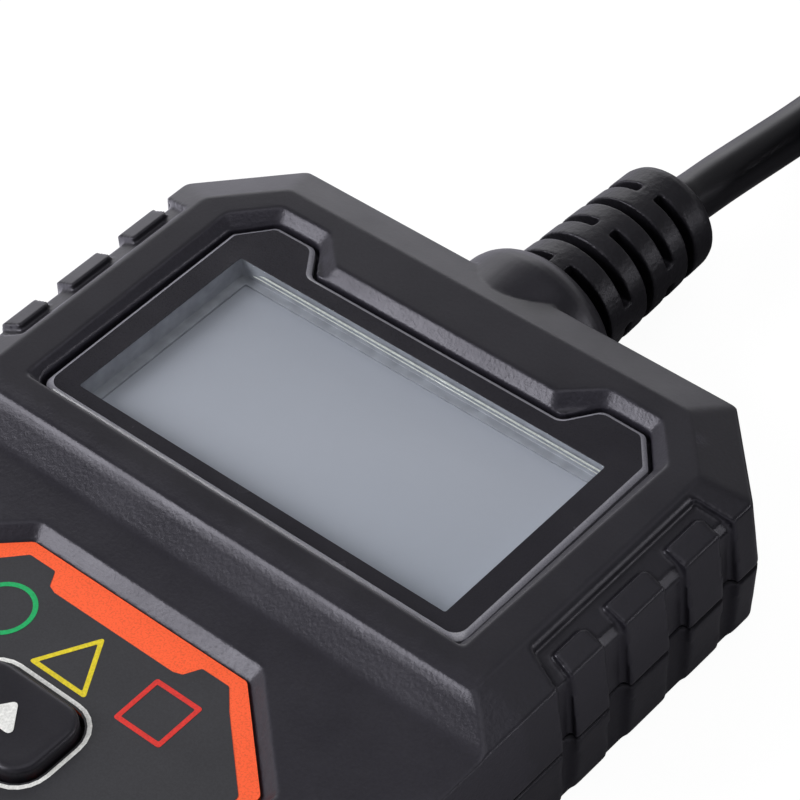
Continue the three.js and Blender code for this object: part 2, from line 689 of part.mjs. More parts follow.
function contactCarrier() {
  let carrier = prismY(fillet(grow(shroudSharp, -2.0), 0.8), -38.2, -34.2);
  for (const number of FITTED) {
    const [x, z] = contactPlace(number);
    carrier = carrier.subtract(box(x - 1.0, x + 1.0, -40, -30, z - 0.6, z + 0.6));
  }
  return carrier;
}

// flat blade with a tapered tip
function contact(number) {
  const [x, z] = contactPlace(number);
  const [x0, x1, z0, z1] = [x - CONTACT_X, x + CONTACT_X, z - CONTACT_Z, z + CONTACT_Z];
  const tip = prismY([[x0, z0], [x1, z0], [x1, z1], [x0, z1]],
    CONTACT_TIP_Y - 0.01, CONTACT_TIP_Y, { width: 0.22, height: 1.2, segments: 1 });
  return box(x0, x1, CONTACT_TIP_Y, -34.4, z0, z1).add(tip);
}

putPlug("plug_housing", plugHousing(), material.soft);
putPlug("plug_strain_relief", plugStrainRelief(), material.soft);
putPlug("contact_carrier", contactCarrier(), material.insert);
for (const number of FITTED) {
  putPlug(`contact_${String(number).padStart(2, "0")}`, contact(number), material.brass);
}

export default group;
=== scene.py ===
"""A hand-held tester with a display, seven keys, three lamps, and a cable coiled to a plug.

It lies on its back on the floor: the face looks up (+Z), the keypad is towards -Y and the
display towards +Y. The cable leaves at the +Y end, makes two and a half turns and comes
back to the plug on the +X side. Lengths are in millimetres unless a comment says otherwise.
"""
import math
from collections import namedtuple

import bpy
import bmesh
import numpy as np
from mathutils import Matrix, Vector


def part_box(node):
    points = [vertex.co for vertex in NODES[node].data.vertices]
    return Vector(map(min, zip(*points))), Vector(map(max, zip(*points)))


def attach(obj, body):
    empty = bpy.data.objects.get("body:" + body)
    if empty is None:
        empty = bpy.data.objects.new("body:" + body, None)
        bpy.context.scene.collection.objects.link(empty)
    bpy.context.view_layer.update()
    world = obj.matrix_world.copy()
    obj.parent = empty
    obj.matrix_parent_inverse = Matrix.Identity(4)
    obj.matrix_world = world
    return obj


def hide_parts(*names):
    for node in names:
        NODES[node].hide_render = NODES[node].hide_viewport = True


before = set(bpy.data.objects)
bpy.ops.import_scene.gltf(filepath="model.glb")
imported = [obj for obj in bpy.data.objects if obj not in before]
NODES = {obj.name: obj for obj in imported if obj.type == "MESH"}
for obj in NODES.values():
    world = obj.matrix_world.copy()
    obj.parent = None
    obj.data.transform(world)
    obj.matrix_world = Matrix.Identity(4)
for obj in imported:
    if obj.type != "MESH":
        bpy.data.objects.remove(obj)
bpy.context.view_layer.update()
MM = 0.001
ROOT = "housing"

# Cable axis inside the housing, and the cable relief around it
AXIS_Z = 8.9
BOOT_Y, BOOT_Z = 42.3, 8.75
BOOT_TILT = math.radians(0.8)


def register(ob, rides=ROOT, replaces=None):
    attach(ob, rides)
    if replaces:
        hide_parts(replaces)


# ---------------------------------------------------------------- shader helpers
def feed(tree, socket, source):
    """Link an output to a socket, or set the socket's own value."""
    if isinstance(source, bpy.types.NodeSocket):
        tree.links.new(source, socket)
    else:
        socket.default_value = source


def node(tree, kind, *sources, **settings):
    """New node: settings name inputs or properties, sources fill the inputs in order."""
    made = tree.nodes.new(kind)
    for key, value in settings.items():
        if key in made.inputs:
            feed(tree, made.inputs[key], value)
        else:
            setattr(made, key, value)
    for socket, source in zip(made.inputs, sources):
        feed(tree, socket, source)
    return made


def math_step(tree, operation, *sources):
    return node(tree, "ShaderNodeMath", *sources, operation=operation).outputs[0]


def map_range(tree, value, source, target=(0.0, 1.0)):
    return node(tree, "ShaderNodeMapRange", value, *source, *target).outputs[0]


def mix(tree, kind, factor, first, second, blend="MIX"):
    """Mix node; its sockets sit at different places for numbers and for colours."""
    first_in, second_in, result = {"FLOAT": (2, 3, 0), "RGBA": (6, 7, 2)}[kind]
    made = node(tree, "ShaderNodeMix", factor, data_type=kind, blend_type=blend)
    feed(tree, made.inputs[first_in], first)
    feed(tree, made.inputs[second_in], second)
    return made.outputs[result]


def ramp(tree, factor, stops):
    """Colour ramp; stops are (position, grey or colour)."""
    made = node(tree, "ShaderNodeValToRGB", factor)
    elements = made.color_ramp.elements
    while len(elements) < len(stops):
        elements.new(0.5)
    for element, (position, color) in zip(elements, stops):
        element.position = position
        element.color = rgba(color if hasattr(color, "__len__") else (color,) * 3)
    return made.outputs[0]


def rgba(color):
    return (color[0], color[1], color[2], 1)


def srgb(code):
    """Linear colour from a six-digit sRGB code."""
    values = [int(code[i:i + 2], 16) / 255 for i in (0, 2, 4)]
    return tuple(x / 12.92 if x <= 0.04045 else ((x + 0.055) / 1.055) ** 2.4 for x in values)


def new_material(name):
    material = bpy.data.materials.new(name)
    material.use_nodes = True
    tree = material.node_tree
    tree.nodes.clear()
    return material, tree, node(tree, "ShaderNodeOutputMaterial")


def object_coords(tree):
    return node(tree, "ShaderNodeTexCoord").outputs["Object"]


def bevel_normal(tree, radius):
    """Normal that rounds the edges in shading only."""
    return node(tree, "ShaderNodeBevel", samples=4, Radius=radius * MM).outputs[0]


# ------------------------------------------------------------------- materials
MAT = {}
COOL_SHEEN = (0.90, 0.88, 1.0)
VORONOI_SHARE = 0.35    # share of cells in the moulded grain
CLOUD_SIZE = 9.0        # size of the cloudy colour and roughness patches


def moulded(key, name, code, rough, grain_mm, grain, vary=0.10, spec=0.5, coat=0.0,
            edge=0.0, round_mm=0.0, cool=False, masked=False):
    """Moulded plastic: eroded grain, cloudy roughness, slightly paler edges.

    grain is the relief, vary the colour change, edge the paling of edges and cool a violet
    sheen. masked takes the relief, and a paler colour as painted light, from the mesh's
    "grain" attribute.
    """
    material, tree, output = new_material(name)
    shader = node(tree, "ShaderNodeBsdfPrincipled")
    shader.inputs["Specular IOR Level"].default_value = spec
    shader.inputs["Coat Weight"].default_value = coat
    shader.inputs["Coat Roughness"].default_value = 0.12
    if cool:
        shader.inputs["Specular Tint"].default_value = rgba(COOL_SHEEN)
    coords = object_coords(tree)
    fine = node(tree, "ShaderNodeTexNoise", Scale=1000.0 / grain_mm, Detail=2.0,
                Roughness=0.55, Vector=coords).outputs[0]
    cells = node(tree, "ShaderNodeTexVoronoi", Scale=1000.0 / (grain_mm * 1.9),
                 Vector=coords).outputs[0]
    cloud = node(tree, "ShaderNodeTexNoise", Scale=1000.0 / CLOUD_SIZE, Detail=3.0,
                 Roughness=0.6, Vector=coords).outputs[0]
    height = mix(tree, "FLOAT", VORONOI_SHARE, fine, cells)
    bump = node(tree, "ShaderNodeBump", Strength=min(1.0, grain * 4),
                Distance=grain_mm * MM * 0.16, Height=height)
    if masked:
        # the grain attribute sets the bump strength here and the painted light on the colour
        # below
        coarse_and_lit = node(tree, "ShaderNodeAttribute", attribute_name="grain").outputs["Fac"]
        feed(tree, bump.inputs["Strength"], coarse_and_lit)
    if round_mm:
        feed(tree, bump.inputs["Normal"], bevel_normal(tree, round_mm))
    feed(tree, shader.inputs["Normal"], bump.outputs[0])

    base = Vector(srgb(code))
    patches = ramp(tree, cloud, [(0.25, base * (1 - vary)), (0.75, base * (1 + vary))])
    # tiny colour flecks that follow the grain
    flecks = ramp(tree, fine, [(0.3, 0.82), (0.7, 1.15)])
    color = mix(tree, "RGBA", 1.0, patches, flecks, blend="MULTIPLY")
    if edge:
        pointed = node(tree, "ShaderNodeNewGeometry").outputs["Pointiness"]
        # colour paler on sharp edges, found by pointiness
        edge_paling = ramp(tree, pointed, [(0.52, 0.0), (0.60, edge)])
        color = mix(tree, "RGBA", edge_paling, color, rgba(base * 1.8))
    if masked:
        # painted light: where the grain attribute is high, on the sloping walls and the -Y
        # part, the colour is paled for the light these faces catch
        lit_gain = math_step(tree, "MULTIPLY_ADD", coarse_and_lit, 1.25, 0.9)
        scaled = node(tree, "ShaderNodeVectorMath", color, operation="SCALE")
        feed(tree, scaled.inputs[3], lit_gain)
        color = scaled.outputs[0]
    feed(tree, shader.inputs["Base Color"], color)
    roughness = ramp(tree, cloud, [(0.2, max(0.02, rough - 0.06)),
                                   (0.8, min(1.0, rough + 0.07))])
    feed(tree, shader.inputs["Roughness"], roughness)
    feed(tree, output.inputs[0], shader.outputs[0])
    MAT[key] = material


def clear_window():
    """Thin clear pane: see-through, with a sheen that grows at grazing angles."""
    material, tree, output = new_material("window_clear")
    through = node(tree, "ShaderNodeBsdfTransparent", rgba((0.97, 0.98, 0.985)))
    gloss = node(tree, "ShaderNodeBsdfGlossy", Roughness=0.02)
    waves = node(tree, "ShaderNodeTexNoise", Scale=60.0, Detail=2.0,
                 Vector=object_coords(tree))
    bump = node(tree, "ShaderNodeBump", Strength=0.02, Distance=0.0001,
                Height=waves.outputs[0])
    feed(tree, gloss.inputs["Normal"], bump.outputs[0])
    facing = node(tree, "ShaderNodeLayerWeight", Blend=0.5).outputs["Facing"]
    grazing = math_step(tree, "POWER", facing, 3.0)
    sheen = math_step(tree, "MULTIPLY", grazing, 0.6)
    amount = math_step(tree, "ADD", sheen, 0.012)
    shader = node(tree, "ShaderNodeMixShader", amount, through.outputs[0], gloss.outputs[0])
    feed(tree, output.inputs[0], shader.outputs[0])
    MAT["window"] = material


def metal(key, name, color, rough, brushed, round_mm):
    """Plated metal with fine streaks; brushed is the depth of the streaks."""
    material, tree, output = new_material(name)
    shader = node(tree, "ShaderNodeBsdfPrincipled", Metallic=1.0)
    stretched = node(tree, "ShaderNodeMapping", Vector=object_coords(tree), Scale=(1, 6, 1))
    streaks = node(tree, "ShaderNodeTexNoise", Scale=1500.0, Detail=3.0,
                   Vector=stretched.outputs[0]).outputs[0]
    bump = node(tree, "ShaderNodeBump", Strength=brushed, Distance=0.00003, Height=streaks,
                Normal=bevel_normal(tree, round_mm))
    feed(tree, shader.inputs["Normal"], bump.outputs[0])
    base = Vector(color)
    feed(tree, shader.inputs["Base Color"],
         ramp(tree, streaks, [(0.3, base * 0.85), (0.7, base * 1.1)]))
    feed(tree, shader.inputs["Roughness"],
         ramp(tree, streaks, [(0.3, rough - 0.06), (0.7, rough + 0.1)]))
    feed(tree, output.inputs[0], shader.outputs[0])
    MAT[key] = material


def solder_mask():
    """Green circuit board with a brick pattern in paler green."""
    material, tree, output = new_material("solder_mask")
    shader = node(tree, "ShaderNodeBsdfPrincipled", Roughness=0.3)
    pattern = node(tree, "ShaderNodeTexBrick", Scale=90.0, Vector=object_coords(tree),
                   Color1=(0.012, 0.12, 0.05, 1), Color2=(0.018, 0.17, 0.07, 1),
                   Mortar=(0.03, 0.24, 0.10, 1))
    feed(tree, shader.inputs["Base Color"], pattern.outputs[0])
    feed(tree, output.inputs[0], shader.outputs[0])
    MAT["board"] = material


def display_glass():
    """Unpowered display: cool grey with painted light and shade from corner to corner, and
    faint clouds.
    """
    material, tree, output = new_material("display_glass")
    shader = node(tree, "ShaderNodeBsdfPrincipled", Roughness=0.55)
    shader.inputs["Specular IOR Level"].default_value = 0.3
    coords = object_coords(tree)
    place = node(tree, "ShaderNodeSeparateXYZ", coords).outputs
    # painted light and shade: the grey is paler across the middle of the diagonal and darker
    # at its ends
    across = map_range(tree, place[0], (-0.026, 0.026))   # metres
    down = map_range(tree, place[1], (0.013, -0.013))     # metres
    total = math_step(tree, "ADD", across, down)
    diagonal = math_step(tree, "MULTIPLY", total, 0.5)
    clouds = node(tree, "ShaderNodeTexNoise", Scale=45.0, Detail=1.0, Vector=coords)
    shade = mix(tree, "FLOAT", 0.18, diagonal, clouds.outputs[0])
    greys = [(0.0, srgb("a6a8b2")), (0.5, srgb("b0b2bc")), (1.0, srgb("a6aab5"))]
    feed(tree, shader.inputs["Base Color"], ramp(tree, shade, greys))
    feed(tree, output.inputs[0], shader.outputs[0])
    MAT["lcd"] = material


moulded("shell", "shell_plastic", "16151a", rough=0.38, grain_mm=0.34, grain=0.10,
        vary=0.06, edge=0.45, spec=0.42, cool=True, masked=True)
moulded("rear", "rear_plastic", "141318", rough=0.44, grain_mm=0.30, grain=0.12,
        vary=0.06, edge=0.2, spec=0.36, cool=True)
moulded("boot", "boot_rubber", "121115", rough=0.42, grain_mm=0.42, grain=0.24,
        vary=0.12, edge=0.2, spec=0.32, cool=True)
moulded("cable", "cable_sheath", "0a0a0c", rough=0.34, grain_mm=0.5, grain=0.01,
        spec=0.42, cool=True)
moulded("mask", "lens_border", "222126", rough=0.24, grain_mm=0.12, grain=0.01,
        vary=0.05, spec=0.42, cool=True)
# painted highlight: the clear lens edge is coloured pale grey for the light seen in its bevel
moulded("lens_edge", "lens_edge", "9796a0", rough=0.25, grain_mm=0.12, grain=0.01,
        vary=0.05, spec=0.8)
moulded("overlay", "overlay_orange", "ff6030", rough=0.42, grain_mm=0.22, grain=0.05,
        vary=0.03)
moulded("panel", "overlay_grey", "29292e", rough=0.48, grain_mm=0.22, grain=0.08, vary=0.05)
for ink, code, vary in (("ink_green", "05a55c", 0.04), ("ink_yellow", "dcc81e", 0.04),
                        ("ink_red", "d42c24", 0.04), ("ink_white", "e4e4e2", 0.02)):
    moulded(ink, ink, code, rough=0.45, grain_mm=0.22, grain=0.05, vary=vary)
moulded("key", "key_cap", "1b1a1f", rough=0.40, grain_mm=0.25, grain=0.07,
        vary=0.05, edge=0.2, spec=0.4, cool=True)
moulded("white", "white_moulding", "cfcfca", rough=0.5, grain_mm=0.3, grain=0.04,
        vary=0.03, round_mm=0.15)
moulded("chip", "component_black", "1b1b1d", rough=0.5, grain_mm=0.2, grain=0.08,
        round_mm=0.12)
moulded("label", "rating_plate", "8f9095", rough=0.55, grain_mm=0.3, grain=0.03,
        vary=0.04, round_mm=0.08)
moulded("insert", "contact_carrier", "19191b", rough=0.45, grain_mm=0.3, grain=0.06,
        round_mm=0.1)
moulded("plug", "plug_moulding", "121115", rough=0.46, grain_mm=0.34, grain=0.16,
        edge=0.2, spec=0.34, cool=True)
clear_window()
for lamp, code in (("green", "3fc276"), ("yellow", "e2c93a"), ("red", "d8382c")):
    moulded("led_" + lamp, "lamp_" + lamp, code, rough=0.2, grain_mm=0.5, grain=0.01, coat=0.5)
metal("steel", "screw_plating", (0.55, 0.55, 0.56), rough=0.3, brushed=0.4, round_mm=0.1)
metal("contact", "contact_plating", (0.78, 0.58, 0.28), rough=0.28, brushed=0.2,
      round_mm=0.08)
solder_mask()
display_glass()
moulded("surround", "display_surround", "9a9ca4", rough=0.5, grain_mm=2.0, grain=0.002,
        vary=0.02)
# painted reflection: near-white colour for the glint strips along the window's +Y edge
moulded("glint", "window_painted_glint", "e8ebe4", rough=0.12, grain_mm=0.5, grain=0.005,
        vary=0.02, spec=1.0, coat=1.0)


# ---------------------------------------------------------------- mesh helpers
def shade_smooth(mesh):
    mesh.polygons.foreach_set("use_smooth", [True] * len(mesh.polygons))


def link_object(name, data):
    ob = bpy.data.objects.new(name, data)
    bpy.context.scene.collection.objects.link(ob)
    return ob


def mesh_object(name, verts, faces, material):
    """Smooth-shaded object; verts are in metres."""
    mesh = bpy.data.meshes.new(name)
    mesh.from_pydata([tuple(vert) for vert in verts], [], faces)
    mesh.validate()
    mesh.update()
    ob = link_object(name, mesh)
    mesh.materials.append(material)
    shade_smooth(mesh)
    return ob


def evaluated_mesh(ob):
    depsgraph = bpy.context.evaluated_depsgraph_get()
    depsgraph.update()
    return bpy.data.meshes.new_from_object(ob.evaluated_get(depsgraph))


def refine(name, cad, voxel, smooth_steps, ratio, material):
    """A CAD node's form remeshed finely and softened, so its edges are really rounded."""
    source = NODES[cad].data.copy()
    ob = link_object(name, source)
    remesh = ob.modifiers.new("remesh", "REMESH")
    remesh.mode = "VOXEL"
    remesh.voxel_size = voxel * MM
    remesh.adaptivity = 0.0
    remesh.use_smooth_shade = True
    smooth = ob.modifiers.new("smooth", "SMOOTH")
    smooth.factor = 0.5
    smooth.iterations = smooth_steps
    ob.modifiers.new("decimate", "DECIMATE").ratio = ratio
    mesh = evaluated_mesh(ob)
    ob.modifiers.clear()
    ob.data = mesh
    bpy.data.meshes.remove(source)
    mesh.materials.clear()
    mesh.materials.append(material)
    shade_smooth(mesh)
    return ob


def vertex_array(mesh, attribute):
    """A three-part vertex property as an N x 3 array."""
    values = np.zeros(len(mesh.vertices) * 3)
    mesh.vertices.foreach_get(attribute, values)
    return values.reshape(-1, 3)


def true_circle(ob, origin, tilt, facets, profile, start, end):
    """Lift a turned form's facets on to its true circle.

    The axis runs along +Y through origin and dips by tilt. profile lists (station, radius).
    Only vertices between start and end that lie near the faceted form are moved.
    """
    tolerance = 0.035    # share of the radius
    offset = vertex_array(ob.data, "co") / MM - np.array(origin)
    axis = np.array([0, math.cos(tilt), -math.sin(tilt)])
    up = np.array([0, math.sin(tilt), math.cos(tilt)])
    station, x, z = offset @ axis, offset[:, 0], offset @ up
    radius = np.hypot(x, z)
    angle = np.arctan2(x, z)
    wanted = np.interp(station, [row[0] for row in profile], [row[1] for row in profile])
    half = math.pi / facets
    facet_middle = (2 * np.floor(angle / (2 * half)) + 1) * half
    scale = np.cos(angle - facet_middle) / math.cos(half)
    near = ((station > start) & (station < end)
            & (np.abs(radius * scale - wanted) < tolerance * wanted))
    scale = np.where(near, scale, 1.0)
    moved = (np.array(origin) + station[:, None] * axis
             + (x * scale)[:, None] * np.array([1, 0, 0]) + (z * scale)[:, None] * up)
    ob.data.vertices.foreach_set("co", (moved * MM).ravel())
    ob.data.update()


def coarse_grain_and_light_mask(ob):
    """Mark where the grain is coarse and the colour is paled as painted light: slopes about
    the display and keypad, and the -Y part.
    """
    place = vertex_array(ob.data, "co") / MM
    x, y, z = np.abs(place[:, 0]), place[:, 1], place[:, 2]
    sloping = vertex_array(ob.data, "normal")[:, 2] < 0.93
    display_walls = (x < 31.5) & (y < 21.3) & (y > -16) & sloping & (z > 17)
    keypad_rim = (x < 28) & (y < -26) & sloping & (z > 16)
    low_part = y < -17.6
    value = np.where(display_walls | keypad_rim, 1.0, np.where(low_part, 0.7, 0.2))
    attribute = ob.data.attributes.new("grain", "FLOAT", "POINT")
    attribute.data.foreach_set("value", value.astype(np.float32))


def fillet(points, radii, steps=6):
    """Round the corners of an outline; radii is one radius or one per corner."""
    rounded = []
    count = len(points)
    for i in range(count):
        corner = Vector(points[i])
        before = Vector(points[(i - 1) % count]) - corner
        after = Vector(points[(i + 1) % count]) - corner
        radius = radii[i] if isinstance(radii, (list, tuple)) else radii
        length_before, length_after = before.length, after.length
        before.normalize()
        after.normalize()
        half = math.acos(max(-1, min(1, before.dot(after)))) / 2
        # a fillet takes at most 0.48 of either side
        tangent = min(radius / math.tan(half), length_before * 0.48, length_after * 0.48)
        radius = tangent * math.tan(half)
        first, last = corner + before * tangent, corner + after * tangent
        center = corner + (before + after).normalized() * math.hypot(radius, tangent)
        start = math.atan2(first.y - center.y, first.x - center.x)
        end = math.atan2(last.y - center.y, last.x - center.x)
        sweep_angle = (end - start + math.pi) % (2 * math.pi) - math.pi
        for k in range(steps + 1):
            angle = start + sweep_angle * k / steps
            rounded.append((center.x + radius * math.cos(angle),
                            center.y + radius * math.sin(angle)))
    return rounded


def grow(points, distance):
    """Offset an outline outwards, or inwards for a negative distance."""
    count = len(points)
    area = sum(points[i][0] * points[(i + 1) % count][1]
               - points[(i + 1) % count][0] * points[i][1] for i in range(count))
    side = 1 if area > 0 else -1

    def normal(start, end):
        dx, dy = end[0] - start[0], end[1] - start[1]
        length = math.hypot(dx, dy)
        return side * dy / length, -side * dx / length

    grown = []
    for i in range(count):
        point = points[i]
        ax, ay = normal(points[i - 1], point)
        bx, by = normal(point, points[(i + 1) % count])
        spread = 1 + ax * bx + ay * by
        grown.append((point[0] + distance * (ax + bx) / spread,
                      point[1] + distance * (ay + by) / spread))
    return grown


def mirrored(half):
    """Full outline and its corner radii from the (x, y, radius) rows of the +X half."""
    points = [(x, y) for x, y, radius in half] + [(-x, y) for x, y, radius in reversed(half)]
    radii = [row[2] for row in half]
    return points, radii + radii[::-1]


def round_rect(x, y, width, depth, radius, steps=6):
    """Rounded rectangle about (x, y)."""
    x0, x1, y0, y1 = x - width / 2, x + width / 2, y - depth / 2, y + depth / 2
    return fillet([(x0, y0), (x1, y0), (x1, y1), (x0, y1)], radius, steps)


def circle(x, y, radius, count=48):
    angles = [2 * math.pi * i / count for i in range(count)]
    return [(x + radius * math.cos(a), y + radius * math.sin(a)) for a in angles]


def at_height(points, z):
    return [(x, y, z) for x, y in points]


def flat(name, outlines, z0, z1, material):
    """Thin plate between two heights from an outline and its holes."""
    curve = bpy.data.curves.new(name + "_outline", "CURVE")
    curve.dimensions = "2D"
    curve.fill_mode = "BOTH"
    for outline in outlines:
        spline = curve.splines.new("POLY")
        spline.points.add(len(outline) - 1)
        for point, (x, y) in zip(spline.points, outline):
            point.co = (x * MM, y * MM, 0, 1)
        spline.use_cyclic_u = True
    curve.extrude = (z1 - z0) / 2 * MM
    curve.bevel_resolution = 0
    holder = link_object(name + "_holder", curve)
    mesh = evaluated_mesh(holder)
    bpy.data.objects.remove(holder)
    bpy.data.curves.remove(curve)
    mesh.transform(Matrix.Translation((0, 0, (z0 + z1) / 2 * MM)))
    bm = bmesh.new()
    bm.from_mesh(mesh)
    bmesh.ops.remove_doubles(bm, verts=bm.verts, dist=1e-7)
    bmesh.ops.recalc_face_normals(bm, faces=bm.faces)
    bm.to_mesh(mesh)
    bm.free()
    mesh.materials.clear()
    mesh.materials.append(material)
    return link_object(name, mesh)


def loft(name, loops, material, closed=True):
    """Skin over loops of equal count, bottom loop first; closed adds a fan at both ends."""
    count = len(loops[0])
    verts = [Vector(point) * MM for loop in loops for point in loop]
    faces = []
    for k in range(len(loops) - 1):
        low, high = k * count, (k + 1) * count
        for i in range(count):
            j = (i + 1) % count
            faces.append((low + i, low + j, high + j, high + i))
    if closed:
        bottom, top = len(verts), len(verts) + 1
        for loop in (loops[0], loops[-1]):
            verts.append(sum((Vector(point) for point in loop), Vector()) / count * MM)
        last = (len(loops) - 1) * count
        faces += [(bottom, (i + 1) % count, i) for i in range(count)]
        faces += [(top, last + i, last + (i + 1) % count) for i in range(count)]
    return mesh_object(name, verts, faces, material)


def sharp_by_angle(ob, degrees):
    """Mark edges that bend more than the angle as sharp."""
    bm = bmesh.new()
    bm.from_mesh(ob.data)
    for edge in bm.edges:
        if len(edge.link_faces) == 2 and edge.calc_face_angle(0) > math.radians(degrees):
            edge.smooth = False
    bm.to_mesh(ob.data)
    bm.free()
    shade_smooth(ob.data)


# ---------------------------------------------------------------------- shells
# Round neck at the housing's +Y end: (y, radius)
COLLAR = [(23, 10.3), (30.2, 10.3), (31.2, 10.24), (32.1, 10.02),
          (32.9, 9.62), (33.6, 9.05), (34.0, 8.6), (34.2, 8.25)]
# Cable relief: (distance along its axis from its origin, radius)
BOOT_PROFILE = [(-9.2, 7.4), (-6, 7.4), (-2.9, 7.25), (1.05, 7.12),
                (5, 6.98), (8.9, 6.8), (12.4, 6.7), (14, 6.2)]


def round_collar(ob):
    true_circle(ob, (0, 0, AXIS_Z), tilt=0.0, facets=48, profile=COLLAR, start=25.5, end=34.0)


front = refine("front_cover_skin", "front_shell", voxel=0.25, smooth_steps=1, ratio=0.22,
               material=MAT["shell"])
round_collar(front)
coarse_grain_and_light_mask(front)
register(front, replaces="front_shell")

rear = refine("rear_cover_skin", "rear_shell", voxel=0.36, smooth_steps=3, ratio=0.42,
              material=MAT["rear"])
round_collar(rear)
register(rear, replaces="rear_shell")

boot = refine("strain_relief_skin", "cable_boot", voxel=0.18, smooth_steps=3, ratio=0.7,
              material=MAT["boot"])
true_circle(boot, (0, BOOT_Y, BOOT_Z), tilt=BOOT_TILT, facets=40, profile=BOOT_PROFILE,
            start=-8.8, end=13.2)
register(boot, replaces="cable_boot")

plug = refine("plug_skin", "plug_housing", voxel=0.34, smooth_steps=4, ratio=0.7,
              material=MAT["plug"])
register(plug, replaces="plug_housing")

plug_boot = refine("plug_relief_skin", "plug_strain_relief", voxel=0.22, smooth_steps=4,
                   ratio=0.8, material=MAT["boot"])
register(plug_boot, replaces="plug_strain_relief")

# ----------------------------------------------------------------------- cable
CABLE_RADIUS = 3.0
CABLE_END_SCALE = 0.86    # end rings are drawn in
CABLE_SIDES = 28
BED_Z = 3.1               # axis height of the lowest turn
LAYER = 6.4               # rise from one turn to the next
PLUG_Z = 12.5             # axis height at the plug
LOOP_RADIUS = 35.0
LOOP_OUT = 4.0            # the last half turn swings out by this much
LOOP_Y = 119.0
PLUG_ENTRY = 5.6          # how far the cable reaches into the plug's relief
# Fall from the relief to the floor: (y, z)
FALL = [(60, 8.05), (65, 7.35), (70, 6.5), (75, 5.6), (80, 4.75),
        (86, 3.95), (92, 3.4), (99, 3.14), (109, 3.1)]


def ease(value):
    """Smooth step from 0 to 1."""
    value = min(1, max(0, value))
    return value * value * (3 - 2 * value)


def cable_path(start_y, end_y):
    """Guide points of the cable axis, from the housing to the plug."""
    path = [(0, y, AXIS_Z) for y in (start_y, 26, 30, 33)]
    for station in (-4.5, -1, 3, 7, 11, 15):
        path.append((0, BOOT_Y + station * math.cos(BOOT_TILT),
                     BOOT_Z - station * math.sin(BOOT_TILT)))
    path += [(0, y, z) for y, z in FALL]
    for degrees in range(0, 901, 12):
        angle = math.radians(degrees)
        radius = LOOP_RADIUS + LOOP_OUT * ease((degrees - 720) / 180)
        climb = LAYER * (ease((degrees - 170) / 120) + ease((degrees - 530) / 120))
        drop = (BED_Z + 2 * LAYER - PLUG_Z) * ease((degrees - 800) / 100)
        path.append((radius - radius * math.cos(angle), LOOP_Y + radius * math.sin(angle),
                     BED_Z + climb - drop))
    plug_x = 2 * (LOOP_RADIUS + LOOP_OUT)
    return path + [(plug_x, y, PLUG_Z) for y in (110, 101, 92, 83, end_y) if y >= end_y]


def catmull(points, steps=9):
    """Centripetal Catmull-Rom curve through the points."""
    points = [np.array(point, float) for point in points]
    points = [2 * points[0] - points[1]] + points + [2 * points[-1] - points[-2]]

    def blend(first, second, t_first, t_second, t):
        return ((t_second - t) / (t_second - t_first) * first
                + (t - t_first) / (t_second - t_first) * second)

    curve = []
    for i in range(1, len(points) - 2):
        p0, p1, p2, p3 = points[i - 1:i + 3]
        t0 = 0.0
        t1 = t0 + np.linalg.norm(p1 - p0) ** 0.5
        t2 = t1 + np.linalg.norm(p2 - p1) ** 0.5
        t3 = t2 + np.linalg.norm(p3 - p2) ** 0.5
        for k in range(steps):
            t = t1 + (t2 - t1) * k / steps
            a1 = blend(p0, p1, t0, t1, t)
            a2 = blend(p1, p2, t1, t2, t)
            a3 = blend(p2, p3, t2, t3, t)
            b1 = blend(a1, a2, t0, t2, t)
            b2 = blend(a2, a3, t1, t3, t)
            curve.append(blend(b1, b2, t1, t2, t))
    curve.append(points[-2])
    return np.array(curve)


def sweep(name, points, radius, material, sides):
    """Round tube along the points, without twist."""
    along = np.gradient(points, axis=0)
    along /= np.linalg.norm(along, axis=1)[:, None]
    across = np.cross(along[0], [1, 0, 0])
    across /= np.linalg.norm(across)
    angles = np.linspace(0, 2 * math.pi, sides, endpoint=False)
    loops = []
    for i, point in enumerate(points):
        if i:
            across = across - along[i] * across.dot(along[i])
            across /= np.linalg.norm(across)
        third = np.cross(along[i], across)
        loops.append([tuple(point + radius * (math.cos(a) * across + math.sin(a) * third))
                      for a in angles])

    def drawn_in(loop, center):
        return [tuple(center + (np.array(point) - center) * CABLE_END_SCALE)
                for point in loop]

    loops = [drawn_in(loops[0], points[0])] + loops + [drawn_in(loops[-1], points[-1])]
    return loft(name, loops, material)


cable_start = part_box("cable")[0].y / MM
cable_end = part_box("plug_strain_relief")[0].y / MM + PLUG_ENTRY
cable = sweep("cable_sheath_skin", catmull(cable_path(cable_start, cable_end)),
              CABLE_RADIUS, MAT["cable"], CABLE_SIDES)
register(cable, replaces="cable")

# --------------------------------------------------------------------- display
lens_low, lens_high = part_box("display_lens")
LENS_TOP = lens_high.z / MM
LENS_BOTTOM = lens_low.z / MM
WINDOW = (51.0, 25.0)     # x and y size of the clear part
WINDOW_CORNER = 0.25
SHEET = 0.06              # depth of the lens's top plates
# +X half of the lens outline: (x, y, corner radius)
LENS_POINTS, LENS_RADII = mirrored([
    (29.1, -14.8, 1.5), (29.1, 15.0, 0.8), (25.8, 18.8, 1.0),
    (20.2, 18.85, 1.4), (17.5, 15.1, 1.6)])


def lens_outline(inset):
    return fillet(grow(LENS_POINTS, -inset), LENS_RADII)


